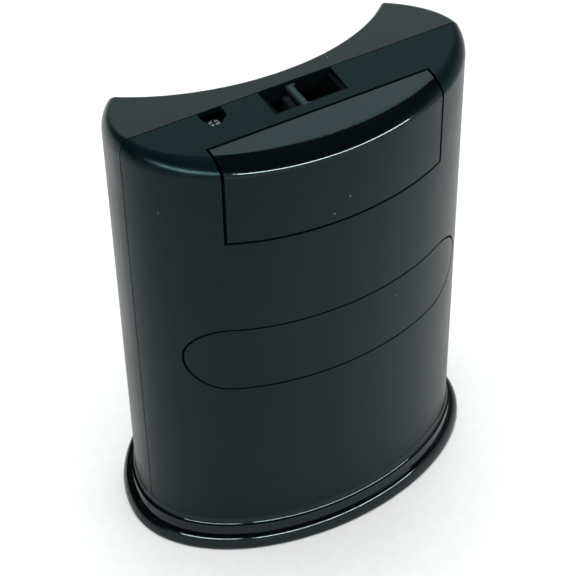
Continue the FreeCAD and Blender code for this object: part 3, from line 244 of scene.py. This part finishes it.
def inner_black():
    """Plain moulded black ABS for inside and underside parts: satin, with flow marks."""
    m = Mat("inner_black")
    flow = m.noise(1.0, 4.0, 0.6, m.stretched((60.0, 60.0, 14.0)))
    base = m.ramp(flow, [(0.3, (0.0060, 0.0075, 0.0078)), (0.7, (0.0115, 0.0135, 0.0140))])
    m.colour(base)
    m.rough(m.remap(flow, 0.3, 0.7, 0.36, 0.50))
    return m.normal(m.bump(m.noise(1400.0, 2.0), 0.00004, 0.5))


def rubber_black():
    """Soft black rubber: dry, dusty and finely pitted."""
    m = Mat("rubber_black")
    pits = m.noise(2300.0, 3.0, 0.7)
    dry = m.noise(160.0, 3.0)
    m.colour(m.ramp(dry, [(0.3, (0.011, 0.011, 0.011)), (0.75, (0.034, 0.033, 0.032))]))
    m.rough(m.remap(pits, 0.3, 0.7, 0.74, 0.92))
    m.set(Specular_IOR_Level=0.3)
    return m.normal(m.bump(pits, 0.00012, 0.7))


def gear_nylon():
    """Natural nylon: milky, slightly greased, with a soft moulded skin."""
    m = Mat("gear_nylon")
    milk = m.noise(90.0, 3.0)
    m.colour(m.ramp(milk, [(0.3, (0.62, 0.58, 0.47)), (0.7, (0.76, 0.73, 0.64))]))
    m.rough(m.remap(m.noise(420.0, 2.0), 0.35, 0.65, 0.30, 0.48))
    m.set(Subsurface_Weight=0.15, Subsurface_Scale=0.002)
    return m.normal(m.bump(m.noise(1500.0, 2.0), 0.00003, 0.5))


# ---------------------------------------------------------------- metals
def brushed(name, dark, light, gloss, pull, height=0.00003):
    """Metal with a drawn or turned grain: pull stretches the brush lines along one axis."""
    m = Mat(name)
    lines = m.noise(1.0, 6.0, 0.75, m.stretched(pull))
    stain = m.noise(140.0, 4.0, 0.6)
    mixed = m.math("MULTIPLY", lines, m.remap(stain, 0.2, 0.8, 0.75, 1.25))
    m.colour(m.ramp(mixed, [(0.25, dark), (0.75, light)]))
    m.rough(m.remap(lines, 0.3, 0.7, gloss - 0.06, gloss + 0.10))
    m.set(Metallic=1.0)
    return m.normal(m.bump(lines, height, 0.6))


def zinc_steel():
    """Zinc-plated steel: bluish spangle with yellowish stains and handling scratches."""
    m = Mat("zinc_steel")
    spangle = m.cells(330.0)
    tone = m.noise(70.0, 4.0)
    stops = [(0.0, (0.50, 0.53, 0.57)), (0.8, (0.66, 0.68, 0.70))]
    cool = m.ramp(spangle.outputs["Distance"], stops)
    m.colour(m.blend(m.remap(tone, 0.45, 0.75, 0.0, 0.6), cool, (0.60, 0.56, 0.44)))
    m.rough(m.remap(tone, 0.3, 0.7, 0.24, 0.42))
    m.set(Metallic=1.0)
    scratches = m.noise(1.0, 5.0, 0.8, m.stretched((1500.0, 240.0, 1500.0)))
    return m.normal(m.bump(scratches, 0.00002, 0.5))


# ---------------------------------------------------------------- the rest
def stone_grit():
    """Bonded abrasive: pale grains in a grey binder, coloured far darker than the stone itself as
    painted shade for its place down in the sharpener slot.
    """
    m = Mat("stone_grit")
    grains = m.cells(2600.0)
    tone = m.noise(900.0, 4.0, 0.7)
    # painted shade: these stops sit far below grey abrasive to stand for the shade in the sharpener slot
    stops = [(0.3, (0.004, 0.006, 0.007)), (0.55, (0.008, 0.013, 0.014)), (0.8, (0.036, 0.046, 0.048))]
    m.colour(m.ramp(tone, stops))
    m.rough(m.remap(tone, 0.3, 0.7, 0.80, 0.95))
    m.set(Specular_IOR_Level=0.12, Specular_Tint=(0.5, 0.95, 1.0, 1.0))
    return m.normal(m.bump(grains.outputs["Distance"], 0.00025, 0.8))


def magnet_ferrite():
    """Sintered ferrite: charcoal, chalky, with small chips."""
    m = Mat("magnet_ferrite")
    chips = m.cells(1100.0)
    tone = m.noise(350.0, 4.0)
    m.colour(m.ramp(tone, [(0.3, (0.030, 0.029, 0.030)), (0.7, (0.070, 0.068, 0.068))]))
    m.rough(m.remap(tone, 0.3, 0.7, 0.45, 0.70))
    m.set(Metallic=0.35)
    return m.normal(m.bump(chips.outputs["Distance"], 0.0001, 0.4))


def board_green():
    """Solder-masked laminate: green over copper runs, with the glass weave just showing."""
    m = Mat("board_green")
    runs = m.add("ShaderNodeTexBrick")
    runs.inputs["Scale"].default_value = 160.0
    runs.inputs["Mortar Size"].default_value = 0.06
    m.link(m.stretched((1.0, 1.0, 1.0)), runs.inputs["Vector"])
    weave = m.noise(1.0, 2.0, 0.5, m.stretched((2600.0, 2600.0, 700.0)))
    mask = m.ramp(weave, [(0.3, (0.010, 0.075, 0.022)), (0.7, (0.016, 0.105, 0.034))])
    m.colour(m.blend(runs.outputs["Fac"], mask, (0.030, 0.16, 0.055)))
    m.rough(m.remap(weave, 0.3, 0.7, 0.22, 0.34))
    return m.normal(m.bump(weave, 0.00003, 0.5))


def component():
    """Moulded epoxy parts: near black, faintly mottled."""
    m = Mat("component")
    tone = m.noise(500.0, 4.0)
    m.colour(m.ramp(tone, [(0.3, (0.018, 0.018, 0.020)), (0.7, (0.040, 0.040, 0.044))]))
    m.rough(m.remap(tone, 0.3, 0.7, 0.35, 0.55))
    return m.normal(m.bump(m.noise(2400.0, 2.0), 0.00004, 0.6))


FINISHES = {
    "case_matte": case_matte(),
    "trim_gloss": trim_gloss(),
    "inner_black": inner_black(),
    "rubber_black": rubber_black(),
    "steel_bright": brushed(
        "steel_bright", (0.52, 0.53, 0.54), (0.78, 0.78, 0.77), 0.20, (140.0, 2400.0, 2400.0)),
    "steel_plain": brushed(
        "steel_plain", (0.26, 0.26, 0.27), (0.48, 0.47, 0.46), 0.34, (1800.0, 160.0, 1800.0)),
    "zinc_steel": zinc_steel(),
    "brass": brushed(
        "brass", (0.52, 0.35, 0.13), (0.80, 0.60, 0.28), 0.26, (2000.0, 300.0, 2000.0)),
    "bronze": brushed(
        "bronze", (0.30, 0.17, 0.08), (0.52, 0.33, 0.18), 0.38, (900.0, 900.0, 900.0), 0.00008),
    "gear_nylon": gear_nylon(),
    "stone_grit": stone_grit(),
    "magnet_ferrite": magnet_ferrite(),
    "board_green": board_green(),
    "component": component(),
}
for node in nodes.values():
    slot = node.data.materials[0].name.split(".")[0]
    node.data.materials.clear()
    node.data.materials.append(FINISHES[slot])
nodes["sharpener_guide"].data.materials[0] = guide_black_painted_shade()
nodes["pocket_screw"].data.materials[0] = brushed(
    "screw_dull", (0.06, 0.07, 0.07), (0.34, 0.35, 0.35), 0.22, (500.0, 500.0, 60.0))


# ---------------------------------------------------------------- floor
def floor_material():
    """Pale paper sweep: almost white, with the faintest fibre."""
    m = Mat("floor_paper")
    fibre = m.noise(240.0, 4.0, 0.6)
    m.colour(m.ramp(fibre, [(0.3, (0.86, 0.865, 0.865)), (0.7, (0.90, 0.905, 0.905))]))
    m.rough(m.remap(fibre, 0.3, 0.7, 0.80, 0.90))
    m.set(Specular_IOR_Level=0.2)
    return m.normal(m.bump(fibre, 0.00004, 0.3))


mesh = bpy.data.meshes.new("floor")
grid = bmesh.new()
bmesh.ops.create_grid(grid, x_segments=8, y_segments=8, size=FLOOR_HALF)
grid.to_mesh(mesh)
grid.free()
floor = bpy.data.objects.new("floor", mesh)
bpy.context.scene.collection.objects.link(floor)
floor.data.materials.append(floor_material())


# ---------------------------------------------------------------- light
def softbox(name, where, size, watts, colour, in_gloss, in_diffuse):
    """A rectangular studio softbox aimed at the middle of the object."""
    data = bpy.data.lights.new(name, "AREA")
    data.shape = "RECTANGLE"
    data.size, data.size_y = size
    data.energy = watts
    data.color = colour
    lamp = bpy.data.objects.new(name, data)
    bpy.context.scene.collection.objects.link(lamp)
    lamp.location = where
    lamp.rotation_euler = (Vector(MIDDLE) - Vector(where)).to_track_quat("-Z", "Y").to_euler()
    lamp.visible_glossy = in_gloss
    lamp.visible_diffuse = in_diffuse


for panel in PANELS:
    softbox(*panel)


def studio_world():
    """A dim room: pale backdrops up to head height on all but one side, and a dark ceiling."""
    world = bpy.data.worlds.new("studio")
    world.use_nodes = True
    tree = world.node_tree
    place = tree.nodes.new("ShaderNodeTexCoord").outputs["Generated"]
    split = tree.nodes.new("ShaderNodeSeparateXYZ")
    band = tree.nodes.new("ShaderNodeValToRGB")
    tree.links.new(place, split.inputs["Vector"])
    tree.links.new(split.outputs["Z"], band.inputs["Fac"])
    stops = [(0.0, 1.0), (0.25, 0.9), (0.50, 0.30), (0.75, 0.05)]
    ramp = band.color_ramp
    while len(ramp.elements) < len(stops):
        ramp.elements.new(0.5)
    for element, (position, level) in zip(ramp.elements, stops):
        element.position = position
        element.color = (level * 0.97, level, level, 1.0)
    side = tree.nodes.new("ShaderNodeVectorMath")
    side.operation = "DOT_PRODUCT"
    side.inputs[1].default_value = (0.72, -0.69, 0.0)
    tree.links.new(place, side.inputs[0])
    shade = tree.nodes.new("ShaderNodeMapRange")
    shade.inputs["From Min"].default_value = 0.50
    shade.inputs["From Max"].default_value = 0.72
    shade.inputs["To Min"].default_value = 1.0
    shade.inputs["To Max"].default_value = 0.08
    tree.links.new(side.outputs["Value"], shade.inputs["Value"])
    tree.links.new(shade.outputs["Result"], tree.nodes["Background"].inputs["Strength"])
    tree.links.new(band.outputs["Color"], tree.nodes["Background"].inputs["Color"])
    return world


bpy.context.scene.world = studio_world()
bpy.context.scene.view_settings.view_transform = "Standard"


# ---------------------------------------------------------------- camera
lens = bpy.data.cameras.new("camera")
camera = bpy.data.objects.new("camera", lens)
bpy.context.scene.collection.objects.link(camera)
camera.location = CAMERA_PLACE
aim = Vector(CAMERA_TARGET) - camera.location
camera.rotation_euler = aim.to_track_quat("-Z", "Y").to_euler()
lens.sensor_width = SENSOR_MM
lens.lens = FOCAL_MM
lens.shift_x, lens.shift_y = FRAME_SHIFT
lens.clip_start = 0.01
lens.dof.use_dof = False
bpy.context.scene.camera = camera
